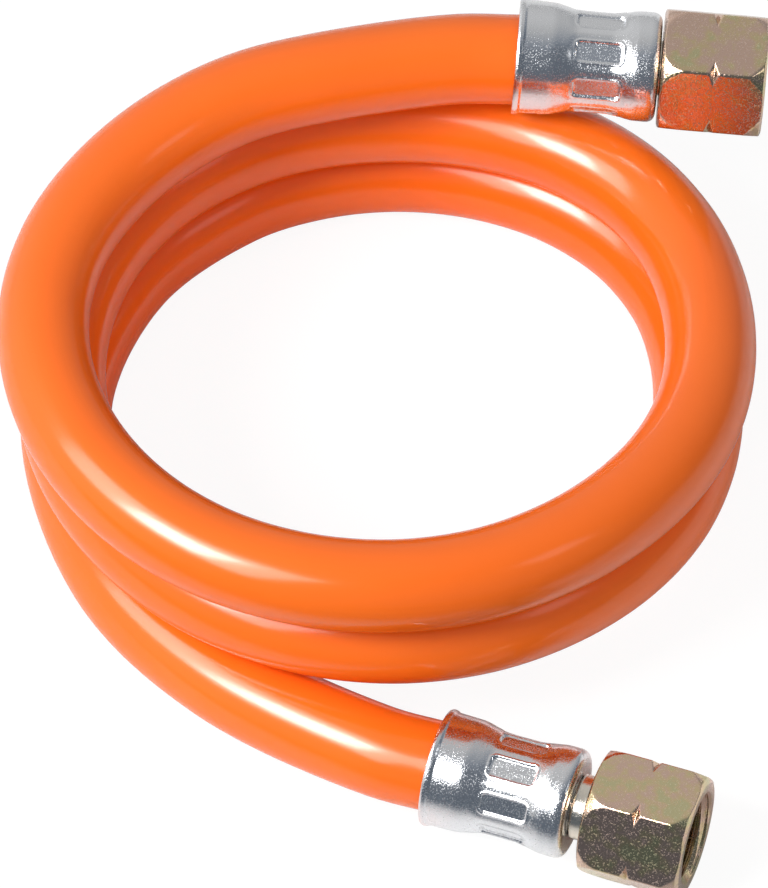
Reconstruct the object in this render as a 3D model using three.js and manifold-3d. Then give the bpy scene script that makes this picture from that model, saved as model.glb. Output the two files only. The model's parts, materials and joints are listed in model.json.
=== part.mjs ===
// Low-pressure gas hose, laid down in a loose coil, with a crimped ferrule and a left-hand
// union nut at each end. Millimetres, +Z up, origin on the floor under the middle of the whole.
import * as THREE from 'three';
import { mergeVertices } from 'three/addons/utils/BufferGeometryUtils.js';
import Module from 'manifold-3d';

// Hose
const hoseDiameter = 13;
const boreDiameter = 6.3;
const hoseSides = 12;
const boreSides = 8;
const hoseSteps = 72;

// Fits: between pieces that never move on each other, round the turning nut, and the room that
// the hose has to lean in the ferrule's open mouth
const seatGap = 0.3;
const swivelGap = 0.3;
const mouthSlack = 0.85;

// Ferrule, measured along its axis from the lip. Each rise is how far a ring stands out from
// the waist that the crimping jaws leave
const ferruleLength = 20.6;
const sleeveWall = 1.05;
const lipRise = 1.2;
const bellRise = 0.8;
const shoulderRise = 0.65;
const shoulderCornerRadius = 1.6;
const lipLength = 0.6;
const lipEdgeWidth = 0.3;
const beadLength = 1.3;
const bellLength = 5.8;
const endWallThickness = 2.4;
const crimpSqueezeDepth = 0.6;
const crimpStartDepth = 6;

// Indents pressed into the ferrule by the crimping jaws
const indentCount = 8;
const indentLength = 7;
const indentWidth = 3.3;
const indentCornerRadius = 0.9;
const indentDepth = 0.5;
const indentMiddle = 11.8;

// Stem: barbed tail, neck held by the ferrule, and the head that the nut pulls on its seat
const gasBoreDiameter = 4;
const tailTipDepth = 1.5;
const barbCount = 4;
const barbCrestDiameter = 7.1;
const barbRootDiameter = 6.3;
const barbStepLength = 0.3;
const collarLength = 1.4;
const neckDiameter = 9.3;
const neckGrooveDiameter = 7.9;
const headDiameter = 10.7;
const headLength = 2.1;
const noseLength = 2.4;
const noseDiameter = 6.4;

// Union nut, measured along its axis from the rear face
const hexSides = 6;
const acrossFlats = 17;
const nutLength = 15;
const hexCornerRadius = 0.5;
const rearWallThickness = 3.5;
const threadMinorDiameter = 11.445;
const threadReliefDiameter = 13.4;
const reliefLength = 1.4;
const mouthDiameter = 13.5;
const frontFaceDiameter = 16.2;
const rearFaceDiameter = 16.2;
const frontChamferLength = 2.1;
const rearChamferLength = 2.7;
const chamferHeight = 1.2;
const edgeLength = 0.35;
const edgeHeight = 0.25;
const markWidth = 1.4;
const markDepth = 0.75;

// The nut slides on the neck from the ferrule to the head: the upper one lies back against its
// ferrule, the lower one is pulled forward
const nutSlide = 2.6;
const upperNutGap = 0.3;

// The coil: its radius every 45 degrees, one row for each turn, as a hand left it lying
const fullTurn = 360;
const startBearing = 90;
const radiusStep = 45;
const turnRadii = [
  41.5, 45.0, 49.5, 50.5, 49.0, 45.5, 45.0, 47.5,
  46.0, 47.0, 47.5, 48.0, 48.0, 45.0, 43.5, 47.5,
  47.5, 47.0,
];
const coilStart = 15;
const coilEnd = 750;
const coilStep = 15;
const layersBelow = 2;
const layerGap = 0.2;
const sinkStart = 165;
const sinkEnd = 320;
const liftSpan = 70;

// The fittings: where the lip of each ferrule lies in plan, and which way it points
const upperLipPoint = [17.5, 45];
const upperDirection = [1, -0.069, -0.054];
const upperLean = [0, -0.79, -0.62];
const mouthLean = 0.6;
const leadLean = 1.35;
const upperIndentTurn = 28;
const upperNutTurn = 41;
const lowerLipPoint = [6, -62.5];
const lowerDirection = [0.9455, -0.3256, 0];
const lowerIndentTurn = 16.5;
const lowerNutTurn = 30;
const leadLength = 9;

// The free end: hand-placed points in plan, from the coil to the lower ferrule
const tailPoints = [
  [-38.5, 27],
  [-47, 2.5],
  [-40, -26.5],
  [-24.5, -45.5],
];
const tailRiseHeight = 0.6;

// Fineness of the round faces
const ferruleFacets = 24;
const stemFacets = 20;
const nutFacets = 36;
const shoulderSteps = 3;
const indentCornerSteps = 3;
const hexCornerSteps = 4;

// How far a cutting shape reaches past the face that it cuts
const cutOvershoot = 1;

const hoseRadius = hoseDiameter / 2;
const layerPitch = hoseDiameter + layerGap;
const crimpedRadius = hoseRadius - crimpSqueezeDepth;
const gripRadius = crimpedRadius + seatGap;
const mouthRadius = hoseRadius + mouthSlack + seatGap;
const waistRadius = gripRadius + sleeveWall;
const lipRadius = waistRadius + lipRise;
const bellRadius = waistRadius + bellRise;
const shoulderRadius = waistRadius + shoulderRise;
const wallStart = ferruleLength - endWallThickness;
const collarEnd = wallStart - seatGap;
const hoseInsertion = collarEnd - collarLength - seatGap;
const upperNutStart = ferruleLength + upperNutGap;
const lowerNutStart = ferruleLength + nutSlide;
const headStart = lowerNutStart + rearWallThickness + seatGap;
const noseEnd = headStart + headLength + noseLength;

const wasm = await Module();
wasm.setup();

// Booleans work on closed meshes whose corners are shared
function toSolid(geometry) {
  const bare = geometry.index ? geometry.toNonIndexed() : geometry.clone();
  bare.deleteAttribute('normal');
  bare.deleteAttribute('uv');
  const merged = mergeVertices(bare, 1e-4);
  const mesh = new wasm.Mesh({
    numProp: 3,
    vertProperties: new Float32Array(merged.attributes.position.array),
    triVerts: new Uint32Array(merged.index.array),
  });
  return new wasm.Manifold(mesh);
}

function toGeometry(solid) {
  const mesh = solid.getMesh();
  const geometry = new THREE.BufferGeometry();
  geometry.setAttribute('position', new THREE.BufferAttribute(new Float32Array(mesh.vertProperties), 3));
  geometry.setIndex(new THREE.BufferAttribute(new Uint32Array(mesh.triVerts), 1));
  geometry.computeVertexNormals();
  return geometry;
}

// A ring or shaft about +Z from a closed outline of [radius, z] points, walked with the
// material on the left
function revolve(outline, facets) {
  const points = [...outline, outline[0]].map(([radius, z]) => new THREE.Vector2(radius, z));
  return new THREE.LatheGeometry(points, facets).rotateX(Math.PI / 2);
}

// Points on a quarter circle between two ends of an outline
function roundCorner(centre, radius, from, to, count) {
  const points = [];
  for (let i = 0; i <= count; i += 1) {
    const angle = THREE.MathUtils.degToRad(from + ((to - from) * i) / count);
    points.push([centre[0] + radius * Math.cos(angle), centre[1] + radius * Math.sin(angle)]);
  }
  return points;
}

// Height of the hose's centre line: it starts on the third layer and sinks one layer a turn
function layerHeight(angle) {
  const firstSink = THREE.MathUtils.smoothstep(angle, sinkStart, sinkEnd);
  const secondSink = THREE.MathUtils.smoothstep(angle, sinkStart + fullTurn, sinkEnd + fullTurn);
  return hoseRadius + layerPitch * (layersBelow - firstSink - secondSink);
}

// The upper ferrule rests across the second layer, so the hose reaches it a little raised
const upperHeight = layerHeight(fullTurn) + hoseRadius + lipRadius + seatGap;
const upperLift = upperHeight - layerHeight(0);
const lowerHeight = Math.max(lipRadius, acrossFlats / 2);

const upperAxis = {
  lip: new THREE.Vector3(upperLipPoint[0], upperLipPoint[1], upperHeight),
  direction: new THREE.Vector3(...upperDirection).normalize(),
};
const lowerAxis = {
  lip: new THREE.Vector3(lowerLipPoint[0], lowerLipPoint[1], lowerHeight),
  direction: new THREE.Vector3(...lowerDirection).normalize(),
};

function along(axis, distance) {
  return axis.lip.clone().addScaledVector(axis.direction, distance);
}

// Centre line of the hose, from inside the upper ferrule to inside the lower one. It lies
// against the near, lower side of the upper ferrule's mouth
function hoseRoute() {
  const radii = new THREE.SplineCurve(turnRadii.map((radius, i) => new THREE.Vector2(i, radius)));
  const lean = new THREE.Vector3(...upperLean).normalize();
  const points = [hoseInsertion, hoseInsertion / 2].map((d) => along(upperAxis, d));
  points.push(along(upperAxis, 0).addScaledVector(lean, mouthLean));
  points.push(along(upperAxis, -leadLength).addScaledVector(lean, leadLean));
  for (let angle = coilStart; angle <= coilEnd; angle += coilStep) {
    const radius = radii.getPoint(angle / radiusStep / (turnRadii.length - 1)).y;
    const bearing = THREE.MathUtils.degToRad(startBearing + angle);
    const height = layerHeight(angle) + upperLift * (1 - THREE.MathUtils.smoothstep(angle, 0, liftSpan));
    points.push(new THREE.Vector3(radius * Math.cos(bearing), radius * Math.sin(bearing), height));
  }
  tailPoints.forEach(([x, y], i) => {
    const rise = i === tailPoints.length - 1 ? tailRiseHeight : 0;
    points.push(new THREE.Vector3(x, y, hoseRadius + rise));
  });
  points.push(...[-leadLength, 0, hoseInsertion / 2, hoseInsertion].map((d) => along(lowerAxis, d)));
  return new THREE.CatmullRomCurve3(points);
}

// Turns +Z onto a fitting's axis, with the piece's +X kept upright and then turned about the axis
function placeOnAxis(object, axis, distance, turn) {
  const z = axis.direction;
  const up = new THREE.Vector3(0, 0, 1);
  const x = up.addScaledVector(z, -up.dot(z)).normalize();
  const y = new THREE.Vector3().crossVectors(z, x);
  object.quaternion.setFromRotationMatrix(new THREE.Matrix4().makeBasis(x, y, z));
  object.rotateZ(THREE.MathUtils.degToRad(turn));
  object.position.copy(along(axis, distance));
  return object;
}

function placedSolid(geometry, axis) {
  const holder = placeOnAxis(new THREE.Object3D(), axis, 0, 0);
  holder.updateMatrix();
  return toSolid(geometry.clone().applyMatrix4(holder.matrix));
}

function hoseGeometry() {
  const section = new THREE.Shape(ringPoints(hoseRadius, hoseSides));
  section.holes.push(new THREE.Path(ringPoints(boreDiameter / 2, boreSides)));
  const tube = new THREE.ExtrudeGeometry(section, {
    steps: hoseSteps,
    extrudePath: hoseRoute(),
    bevelEnabled: false,
  });
  // Under each ferrule the hose is squeezed outside and opened out inside by the barbed tail
  const beyond = hoseInsertion + cutOvershoot;
  const clear = mouthRadius + cutOvershoot;
  const openedRadius = barbCrestDiameter / 2 + seatGap;
  const squeeze = revolve([
    [mouthRadius - seatGap, 0],
    [clear, 0],
    [clear, beyond],
    [crimpedRadius, beyond],
    [crimpedRadius, crimpStartDepth],
  ], stemFacets);
  const opening = revolve([
    [0, tailTipDepth - cutOvershoot],
    [openedRadius, tailTipDepth - cutOvershoot],
    [openedRadius, beyond],
    [0, beyond],
  ], stemFacets);
  let solid = toSolid(tube);
  for (const axis of [upperAxis, lowerAxis]) {
    solid = solid.subtract(placedSolid(squeeze, axis)).subtract(placedSolid(opening, axis));
  }
  return toGeometry(solid);
}

function ringPoints(radius, sides) {
  const points = [];
  for (let i = 0; i < sides; i += 1) {
    const angle = (2 * Math.PI * i) / sides;
    points.push(new THREE.Vector2(radius * Math.cos(angle), radius * Math.sin(angle)));
  }
  return points;
}

function ferruleGeometry() {
  const waistStart = indentMiddle - indentLength / 2;
  const waistEnd = indentMiddle + indentLength / 2;
  const cornerStart = ferruleLength - shoulderCornerRadius;
  const corner = roundCorner(
    [shoulderRadius - shoulderCornerRadius, cornerStart], shoulderCornerRadius, 0, 90, shoulderSteps);
  const outline = [
    [mouthRadius, 0],
    [lipRadius - lipEdgeWidth, 0],
    [lipRadius, lipLength],
    [bellRadius, beadLength],
    [bellRadius, bellLength],
    [waistRadius, waistStart],
    [waistRadius, waistEnd],
    [(waistRadius + shoulderRadius) / 2, (waistEnd + cornerStart) / 2],
    ...corner,
    [neckGrooveDiameter / 2 + seatGap, ferruleLength],
    [neckGrooveDiameter / 2 + seatGap, wallStart],
    [gripRadius, wallStart],
    [gripRadius, crimpStartDepth],
  ];
  const indent = indentCutter();
  let solid = toSolid(revolve(outline, ferruleFacets));
  for (let i = 0; i < indentCount; i += 1) {
    const turned = indent.clone().rotateZ((2 * Math.PI * i) / indentCount);
    solid = solid.subtract(toSolid(turned));
  }
  return toGeometry(solid);
}

// A rounded slab that sinks a flat-floored pocket into the ferrule's side at +X
function indentCutter() {
  const halfWidth = indentWidth / 2;
  const halfLength = indentLength / 2;
  const r = indentCornerRadius;
  const pad = new THREE.Shape();
  pad.moveTo(-halfWidth + r, -halfLength);
  pad.lineTo(halfWidth - r, -halfLength);
  pad.absarc(halfWidth - r, -halfLength + r, r, -Math.PI / 2, 0, false);
  pad.lineTo(halfWidth, halfLength - r);
  pad.absarc(halfWidth - r, halfLength - r, r, 0, Math.PI / 2, false);
  pad.lineTo(-halfWidth + r, halfLength);
  pad.absarc(-halfWidth + r, halfLength - r, r, Math.PI / 2, Math.PI, false);
  pad.lineTo(-halfWidth, -halfLength + r);
  pad.absarc(-halfWidth + r, -halfLength + r, r, Math.PI, 1.5 * Math.PI, false);
  const slab = new THREE.ExtrudeGeometry(pad, {
    depth: indentDepth + bellRise + cutOvershoot,
    bevelEnabled: false,
    curveSegments: indentCornerSteps,
  });
  // The slab's width lies along Y, its length along Z and its depth along X
  slab.applyMatrix4(new THREE.Matrix4().makeBasis(
    new THREE.Vector3(0, 1, 0), new THREE.Vector3(0, 0, 1), new THREE.Vector3(1, 0, 0)));
  return slab.translate(waistRadius - indentDepth, 0, indentMiddle);
}

function stemGeometry() {
  const bore = gasBoreDiameter / 2;
  const neck = neckDiameter / 2;
  const barbPitch = (hoseInsertion - tailTipDepth - 2 * barbStepLength) / barbCount;
  const outline = [[bore, tailTipDepth]];
  for (let i = 0; i < barbCount; i += 1) {
    const start = tailTipDepth + barbStepLength + i * barbPitch;
    outline.push([barbRootDiameter / 2, start]);
    outline.push([barbCrestDiameter / 2, start + barbPitch - barbStepLength]);
  }
  outline.push(
    [barbRootDiameter / 2, hoseInsertion],
    [neck, hoseInsertion + seatGap],
    [neck, collarEnd],
    [neckGrooveDiameter / 2, collarEnd],
    [neckGrooveDiameter / 2, ferruleLength + seatGap],
    [neck, ferruleLength + seatGap],
    [neck, headStart],
    [headDiameter / 2, headStart],
    [headDiameter / 2, headStart + headLength],
    [noseDiameter / 2, noseEnd],
    [bore, noseEnd],
  );
  return toGeometry(toSolid(revolve(outline, stemFacets)));
}

function hexPrism() {
  const hex = new THREE.Shape();
  const halfSide = Math.PI / hexSides;
  const arcCentre = (acrossFlats / 2 - hexCornerRadius) / Math.cos(halfSide);
  for (let i = 0; i < hexSides; i += 1) {
    const middle = 2 * i * halfSide;
    const x = arcCentre * Math.cos(middle);
    const y = arcCentre * Math.sin(middle);
    hex.absarc(x, y, hexCornerRadius, middle - halfSide, middle + halfSide, false);
  }
  return new THREE.ExtrudeGeometry(hex, {
    depth: nutLength,
    bevelEnabled: false,
    curveSegments: hexCornerSteps,
  });
}

// The nut's turned outside: both ends are chamfered, so the hexagon's corners are cut back
function nutTurning(clear) {
  const flat = acrossFlats / 2;
  const rear = rearFaceDiameter / 2;
  return revolve([
    [0, 0],
    [rear, 0],
    [flat + edgeHeight, edgeLength],
    [flat + (edgeHeight + chamferHeight) / 2, rearChamferLength / 2],
    [flat + chamferHeight, rearChamferLength],
    [clear, rearChamferLength + chamferHeight],
    [clear, nutLength - frontChamferLength - chamferHeight],
    [flat + chamferHeight, nutLength - frontChamferLength],
    [flat + edgeHeight, nutLength - edgeLength],
    [frontFaceDiameter / 2, nutLength],
    [0, nutLength],
  ], nutFacets);
}

// From the rear: a hole for the neck, the thread's relief, the thread and its countersunk mouth
function nutHole() {
  const neckHole = neckDiameter / 2 + swivelGap;
  const relief = threadReliefDiameter / 2;
  const minor = threadMinorDiameter / 2;
  const reliefEnd = rearWallThickness + reliefLength;
  return revolve([
    [0, -cutOvershoot],
    [neckHole, -cutOvershoot],
    [neckHole, rearWallThickness],
    [relief, rearWallThickness],
    [relief, reliefEnd],
    [minor, reliefEnd + relief - minor],
    [minor, nutLength - (mouthDiameter / 2 - minor)],
    [mouthDiameter / 2 + cutOvershoot, nutLength + cutOvershoot],
    [0, nutLength + cutOvershoot],
  ], stemFacets);
}

// The V groove that notches every corner half-way along marks a left-hand thread
function nutMark(clear) {
  const root = acrossFlats / 2 / Math.cos(Math.PI / hexSides) - markDepth;
  const rise = (clear + cutOvershoot - root) * (markWidth / 2 / markDepth);
  return revolve([
    [root, nutLength / 2],
    [clear + cutOvershoot, nutLength / 2 - rise],
    [clear + cutOvershoot, nutLength / 2 + rise],
  ], nutFacets);
}

function nutGeometry() {
  const clear = acrossFlats / 2 + 2 * chamferHeight;
  const body = toSolid(hexPrism()).intersect(toSolid(nutTurning(clear)));
  return toGeometry(body.subtract(toSolid(nutHole())).subtract(toSolid(nutMark(clear))));
}

const materials = {
  hose: new THREE.MeshStandardMaterial({ color: 0xf26a1e, roughness: 0.3, metalness: 0 }),
  ferrule: new THREE.MeshStandardMaterial({ color: 0xc3ccd6, roughness: 0.25, metalness: 1 }),
  stem: new THREE.MeshStandardMaterial({ color: 0xc9b98f, roughness: 0.3, metalness: 1 }),
  nut: new THREE.MeshStandardMaterial({ color: 0xb6ac98, roughness: 0.3, metalness: 1 }),
};

function named(name, geometry, material) {
  const mesh = new THREE.Mesh(geometry, material);
  mesh.name = name;
  return mesh;
}

// One end: ferrule and stem from the lip onwards, and the nut loose on the stem's neck
function fitting(prefix, axis, indentTurn, nutTurn, nutStart) {
  const group = new THREE.Group();
  const ferrule = named(`${prefix}_ferrule`, ferruleGeometry(), materials.ferrule);
  const stem = named(`${prefix}_stem`, stemGeometry(), materials.stem);
  const nut = named(`${prefix}_union_nut`, nutGeometry(), materials.nut);
  group.add(placeOnAxis(ferrule, axis, 0, indentTurn));
  group.add(placeOnAxis(stem, axis, 0, 0));
  group.add(placeOnAxis(nut, axis, nutStart, nutTurn));
  return group;
}

const assembly = new THREE.Group();
assembly.add(named('hose', hoseGeometry(), materials.hose));
assembly.add(fitting('upper', upperAxis, upperIndentTurn, upperNutTurn, upperNutStart));
assembly.add(fitting('lower', lowerAxis, lowerIndentTurn, lowerNutTurn, lowerNutStart));

// The origin goes to the floor, in the middle of the ground that the hose covers
const box = new THREE.Box3().setFromObject(assembly, true);
const middle = box.getCenter(new THREE.Vector3());
assembly.position.set(-middle.x, -middle.y, -box.min.z);

const part = new THREE.Group();
part.name = 'low_pressure_hose';
part.add(assembly);
part.updateMatrixWorld(true);

export default part;
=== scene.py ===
import json
import math

import bmesh
import bpy
from mathutils import Matrix, Vector


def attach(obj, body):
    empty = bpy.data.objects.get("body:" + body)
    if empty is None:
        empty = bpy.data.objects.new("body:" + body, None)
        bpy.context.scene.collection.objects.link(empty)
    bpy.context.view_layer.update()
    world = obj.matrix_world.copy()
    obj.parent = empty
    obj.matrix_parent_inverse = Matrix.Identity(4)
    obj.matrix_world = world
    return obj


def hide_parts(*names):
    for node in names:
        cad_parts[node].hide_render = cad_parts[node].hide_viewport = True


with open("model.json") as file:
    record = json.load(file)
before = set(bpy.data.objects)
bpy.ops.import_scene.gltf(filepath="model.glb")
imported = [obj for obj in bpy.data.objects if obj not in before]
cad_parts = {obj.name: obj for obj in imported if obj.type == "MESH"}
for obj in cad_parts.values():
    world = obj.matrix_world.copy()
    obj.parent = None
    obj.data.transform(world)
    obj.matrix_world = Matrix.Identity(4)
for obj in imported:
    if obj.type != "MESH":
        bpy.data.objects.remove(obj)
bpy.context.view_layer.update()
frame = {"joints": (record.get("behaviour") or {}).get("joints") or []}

MM = 0.001

# Hose, and how its ends sit under the ferrules: inside each lip it is free at first, and then
# squeezed from SQUEEZE_START on
SEAT_GAP = 0.3 * MM
MOUTH_SLACK = 0.85 * MM
HOSE_RADIUS = 6.5 * MM
BORE_RADIUS = 3.15 * MM
CRIMPED_RADIUS = 5.9 * MM
OPENED_RADIUS = 3.85 * MM
HOSE_SIDES = 56
RING_SPACING = 1.6 * MM
FREE_END = 1.5 * MM
SQUEEZE_START = 5 * MM

# Ferrule, measured from its lip
FERRULE_LENGTH = 20.6 * MM
GRIP_RADIUS = CRIMPED_RADIUS + SEAT_GAP
GRIP_START = 6 * MM
MOUTH_RADIUS = HOSE_RADIUS + MOUTH_SLACK + SEAT_GAP
WAIST_RADIUS = GRIP_RADIUS + 1.05 * MM
LIP_RADIUS = WAIST_RADIUS + 1.2 * MM
BELL_RADIUS = WAIST_RADIUS + 0.8 * MM
SHOULDER_RADIUS = WAIST_RADIUS + 0.65 * MM
LIP_EDGE = 0.15 * MM
LIP_CREST_START = 0.35 * MM
LIP_CREST_END = 0.8 * MM
LIP_LENGTH = 1.15 * MM
LIP_FOOT = 0.12 * MM
BELL_LENGTH = 5.8 * MM
BELL_BEND = 0.6 * MM
WAIST_RUN_IN = 1.8 * MM
WAIST_RUN_OUT = 1.6 * MM
SHOULDER_LENGTH = 3.3 * MM
SLIGHT_RISE = 0.06 * MM
FAINT_RISE = 0.02 * MM
WALL_START = FERRULE_LENGTH - 2.4 * MM
INSERTION = WALL_START - 2 * MM
INDENT_COUNT = 8
INDENT_LENGTH = 7 * MM
INDENT_WIDTH = 3.3 * MM
INDENT_CORNER = 0.85 * MM
INDENT_DEPTH = 0.52 * MM
INDENT_EDGE = 0.24 * MM
INDENT_MIDDLE = 11.8 * MM
FERRULE_COLUMNS = 400

# Stem, measured from the lip of its ferrule
GAS_BORE_RADIUS = 2 * MM
TAIL_TIP = 1.5 * MM
BARB_COUNT = 4
BARB_CREST_RADIUS = 3.55 * MM
BARB_ROOT_RADIUS = 3.15 * MM
BARB_STEP = 0.3 * MM
NECK_RADIUS = 4.65 * MM
GROOVE_RADIUS = 3.95 * MM
HEAD_LENGTH = 2.1 * MM
HEAD_RADIUS = 5.35 * MM
NOSE_LENGTH = 2.4 * MM
NOSE_RADIUS = 3.2 * MM
STEM_COLUMNS = 72

# Union nut, measured from its rear face
HEX_SIDES = 6
HALF_FLATS = 8.5 * MM
NUT_LENGTH = 15 * MM
HEX_CORNER = 0.5 * MM
REAR_WALL = 3.5 * MM
NUT_HOLE_RADIUS = NECK_RADIUS + 0.3 * MM
RELIEF_RADIUS = 6.7 * MM
RELIEF_LENGTH = 1.4 * MM
NUT_MOUTH_RADIUS = 6.75 * MM
FRONT_FACE_RADIUS = 8.1 * MM
REAR_FACE_RADIUS = 8.1 * MM
FRONT_CHAMFER = 2.1 * MM
REAR_CHAMFER = 2.7 * MM
CHAMFER_HEIGHT = 1.2 * MM
REAR_BEVEL_RISE = 0.88 * MM
BAR_SPARE = 0.3 * MM
REAR_RUN_OUT = 0.9 * MM
FRONT_RUN_OUT = 0.7 * MM
EDGE_HEIGHT = 0.4 * MM
EDGE_LENGTH = 0.35 * MM
MARK_WIDTH = 1.5 * MM
MARK_DEPTH = 0.8 * MM
MARK_MARGIN = 0.3 * MM
EDGE_SOFTNESS = 0.22 * MM
THREAD_MINOR = 5.7225 * MM
THREAD_MAJOR = 6.5785 * MM
THREAD_PITCH = 1.337 * MM
FLANK_SLOPE = 1.25
NUT_COLUMNS = 300
CORNER_COLUMNS = 12
CORNER_TURN = 3.2

# The upper nut lies back against its ferrule, and the lower one is pulled forward to the head
UPPER_NUT_START = FERRULE_LENGTH + 0.3 * MM
LOWER_NUT_START = FERRULE_LENGTH + 2.6 * MM
HEAD_START = LOWER_NUT_START + REAR_WALL + SEAT_GAP

# The coil: its radius in millimetres every 45 degrees, and how it sinks from layer to layer
FULL_TURN = 360
RADIUS_STEP = 45
TURN_RADII = [
    41.5, 45.0, 49.5, 50.5, 49.0, 45.5, 45.0, 47.5,
    46.0, 47.0, 47.5, 48.0, 48.0, 45.0, 43.5, 47.5,
    47.5, 47.0,
]
START_BEARING = 90
COIL_START = 15
COIL_END = 750
COIL_STEP = 15
LAYERS_BELOW = 2
LAYER_PITCH = 2 * HOSE_RADIUS + 0.2 * MM
SINK_START = 165
SINK_END = 320
LIFT_SPAN = 70
TAIL_POINTS = [(-38.5, 27), (-47, 2.5), (-40, -26.5), (-24.5, -45.5)]
TAIL_RISE = 0.6 * MM
LEAD_LENGTH = 9 * MM

# The fittings: lip of each ferrule in plan, which side of its mouth the hose leans on, and how
# far the indents and the hexagon are turned about the axis
UPPER_LIP = Vector((17.5, 45)) * MM
UPPER_LEAN = Vector((0, -0.79, -0.62)).normalized()
MOUTH_LEAN = 0.6 * MM
LEAD_LEAN = 1.35 * MM
LOWER_LIP = Vector((6, -62.5)) * MM
UPPER_INDENT_TURN = 28
UPPER_NUT_TURN = 41
LOWER_INDENT_TURN = 16.5
LOWER_NUT_TURN = 30

# The share of an edge that the rounding of one corner may take
LONGEST_FILLET = 0.45

# Finishes, as linear colours. Depths and heights are in metres, and scales are counts per metre.
ORANGE = (0.93, 0.166, 0.012, 1)
DEEP_ORANGE = (0.92, 0.142, 0.01, 1)
DIE_LINES = 1500
DIE_LINE_DEPTH = 0.02 * MM
DIE_LINE_STRETCH = 0.012
RIPPLES = 130
RIPPLE_DEPTH = 0.1 * MM
COLOUR_PATCHES = 45
ZINC = (0.83, 0.84, 0.86, 1)
BARE_ZINC = (0.9, 0.91, 0.92, 1)
BARE_SHARE = 0.1
STEM_STRAW = (0.82, 0.76, 0.66, 1)

# Camera: the photo looks down on the coil from far away
VIEW_ELEVATION = math.radians(52)
VIEW_DISTANCE = 1800 * MM
VIEW_LENS = 508.2
VIEW_SENSOR = 36
AIM_RIGHT = -1.43 * MM
AIM_UP = 1.17 * MM
VIEW_NEAR = 100 * MM
VIEW_FAR = 20.0

# Floor: how it shows in the view, and the dark strip in front of the coil that the metal mirrors, a
# painted dark reflection that only gloss and bounce light see
FLOOR_SIZE = 6.0
FLOOR_SHADED = (0.12, 0.12, 0.12, 1)
FLOOR_GLOW = 0.92
STRIP_END = -92 * MM
BRIGHT_START = -56 * MM
# Painted dark reflection: the strip's colour, which only gloss and bounce light see
PAINTED_DARK_REFLECTION = (0.1, 0.12, 0.145, 1)
BRIGHT_COLOUR = (0.8, 0.8, 0.8, 1)

# Studio: the fill light, and the dome that gloss mirrors. Each share goes with one direction.
FILL_LEVEL = 0.46
FILL_BACK = -0.34
DOME_LEVEL = 0.09
DOME_TOP = 0.3
DOME_BACK = 0.39
DOME_RIGHT = -0.15
DOME_LEFT = 0.62
DOME_DARKEST = 0.14
DOME_BRIGHTEST = 0.95
DARK_TINT = (0.8, 0.94, 1.15, 1)
TINT_START = 0.1
TINT_END = 0.5
WHITE = (1, 1, 1, 1)


def smoothstep(value, low, high):
    t = min(max((value - low) / (high - low), 0), 1)
    return t * t * (3 - 2 * t)


def layer_height(angle):
    """Height of the hose's centre line: it starts on the third layer and sinks one layer a turn."""
    first_sink = smoothstep(angle, SINK_START, SINK_END)
    second_sink = smoothstep(angle, SINK_START + FULL_TURN, SINK_END + FULL_TURN)
    return HOSE_RADIUS + LAYER_PITCH * (LAYERS_BELOW - first_sink - second_sink)


UPPER_HEIGHT = layer_height(FULL_TURN) + HOSE_RADIUS + LIP_RADIUS + SEAT_GAP
LOWER_HEIGHT = max(LIP_RADIUS, HALF_FLATS)


class Axis:
    """The axis of one fitting: the middle of its ferrule's lip, and the way it points."""

    def __init__(self, joint_name, lip_height, lip_in_plan, nut_start):
        joint = next(j for j in frame["joints"] if j["name"] == joint_name)
        self.direction = Vector(joint["axis"]).normalized()
        self.lip = Vector(joint["pos_m"]) - self.direction * (nut_start + NUT_LENGTH / 2)
        self.coil_middle = self.lip - Vector((*lip_in_plan, lip_height))

    def along(self, distance):
        return self.lip + self.direction * distance

    def matrix(self, distance, turn):
        """Turns +Z onto the axis, with the piece's +X kept upright and then turned about it."""
        up = Vector((0, 0, 1))
        x = (up - self.direction * up.dot(self.direction)).normalized()
        y = self.direction.cross(x)
        turned = Matrix((x, y, self.direction)).transposed().to_4x4()
        spin = Matrix.Rotation(math.radians(turn), 4, "Z")
        return Matrix.Translation(self.along(distance)) @ turned @ spin


upper = Axis("upper_nut_swivel", UPPER_HEIGHT, UPPER_LIP, UPPER_NUT_START)
lower = Axis("lower_nut_swivel", LOWER_HEIGHT, LOWER_LIP, LOWER_NUT_START)
coil_middle = upper.coil_middle


def catmull_rom(values, place):
    """Value of a spline through evenly spaced values, where place counts from the first of them."""
    last = len(values) - 1
    i = min(int(place), last - 1)
    t = place - i
    a, b, c, d = (values[min(max(j, 0), last)] for j in (i - 1, i, i + 1, i + 2))
    rise_b, rise_c = (c - a) / 2, (d - b) / 2
    cube = 2 * b - 2 * c + rise_b + rise_c
    square = -3 * b + 3 * c - 2 * rise_b - rise_c
    return cube * t**3 + square * t**2 + rise_b * t + b


def route_points():
    """The points that the hose runs through, from inside the upper ferrule to inside the lower one."""
    points = [upper.along(d) for d in (INSERTION, INSERTION / 2)]
    points.append(upper.lip + UPPER_LEAN * MOUTH_LEAN)
    points.append(upper.along(-LEAD_LENGTH) + UPPER_LEAN * LEAD_LEAN)
    upper_lift = UPPER_HEIGHT - layer_height(0)
    for angle in range(COIL_START, COIL_END + 1, COIL_STEP):
        radius = catmull_rom(TURN_RADII, angle / RADIUS_STEP) * MM
        turn = math.radians(START_BEARING + angle)
        height = layer_height(angle) + upper_lift * (1 - smoothstep(angle, 0, LIFT_SPAN))
        points.append(coil_middle + Vector((radius * math.cos(turn), radius * math.sin(turn), height)))
    for x, y in TAIL_POINTS:
        rise = TAIL_RISE if (x, y) == TAIL_POINTS[-1] else 0
        points.append(coil_middle + Vector((x * MM, y * MM, HOSE_RADIUS + rise)))
    points += [lower.along(d) for d in (-LEAD_LENGTH, 0, INSERTION / 2, INSERTION)]
    return points


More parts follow.
